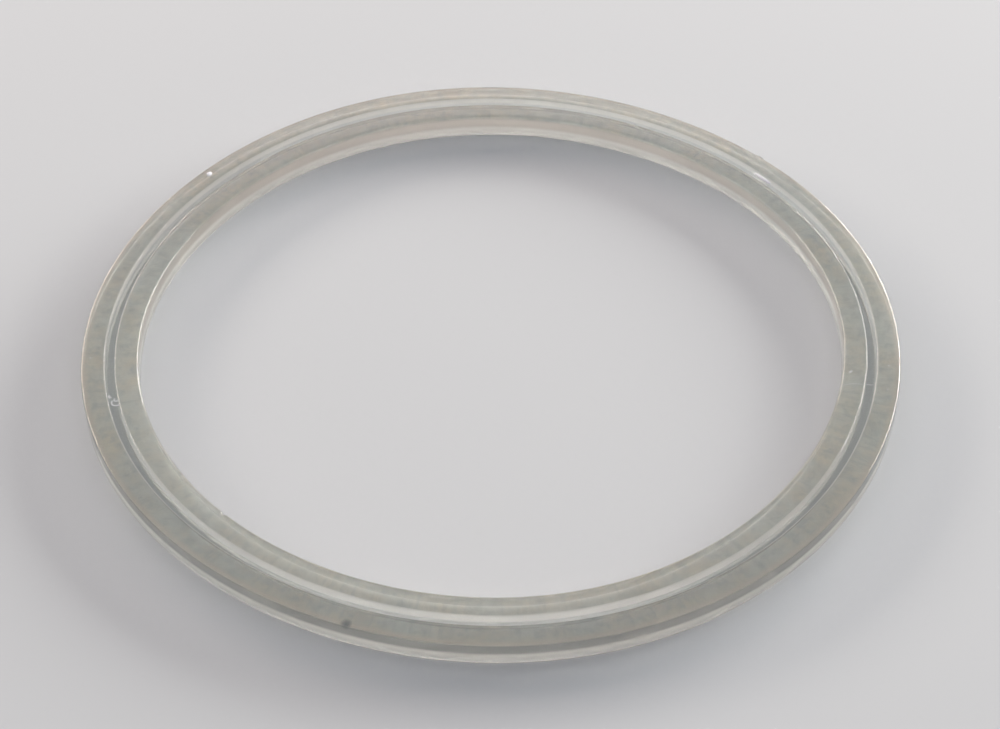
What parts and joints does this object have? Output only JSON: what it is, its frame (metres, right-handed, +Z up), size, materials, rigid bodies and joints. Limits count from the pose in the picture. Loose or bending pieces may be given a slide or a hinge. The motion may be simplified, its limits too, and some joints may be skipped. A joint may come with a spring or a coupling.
{
  "type": "ring gasket",
  "caption": "Flat one-piece silicone ring gasket with a narrow concentric groove round the middle of its upper face.",
  "frame": {"origin": "on the ring's axis, level with its flat underside", "axes": "+Z up along the ring's axis, out of the grooved face"},
  "size_m": [0.08, 0.08, 0.0024],
  "materials": {
    "silicone": "translucent milky silicone rubber, moulded, softly glossy"
  },
  "bodies": {
    "root": {"gasket_ring": "silicone"}
  },
  "joints": []
}
